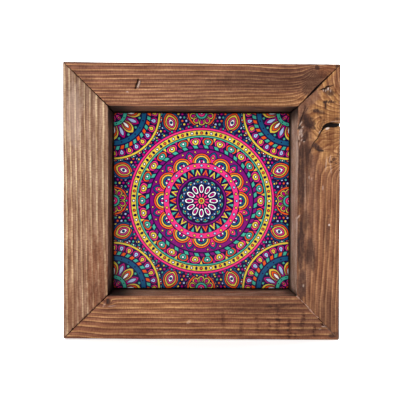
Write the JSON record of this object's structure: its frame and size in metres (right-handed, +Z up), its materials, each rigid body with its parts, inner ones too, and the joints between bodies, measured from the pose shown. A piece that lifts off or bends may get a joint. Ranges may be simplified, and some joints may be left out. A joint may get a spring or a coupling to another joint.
{
  "type": "framed ceramic tile wall art",
  "caption": "Square glazed ceramic tile with a printed medallion, set back in a deep mitred frame of brown-stained pine, to hang on a wall or stand on a shelf.",
  "frame": {"origin": "middle of the underside, where the frame stands on a shelf", "axes": "+Z up the frame, +X to the right seen from the front, +Y from the printed face to the back"},
  "size_m": [0.228, 0.035, 0.2282],
  "materials": {
    "pine_top": "brown-stained planed pine, satin",
    "pine_bottom": "brown-stained planed pine, satin",
    "pine_left": "thinly stained planed pine, satin",
    "pine_right": "brown-stained knotty pine, satin",
    "glazed_tile": "glossy glaze over a printed pattern",
    "hardboard": "dark matt fibreboard"
  },
  "bodies": {
    "root": {"top_rail": "pine_top", "bottom_rail": "pine_bottom", "left_rail": "pine_left", "right_rail": "pine_right", "tile": "glazed_tile", "backing_board": "hardboard"}
  },
  "joints": []
}
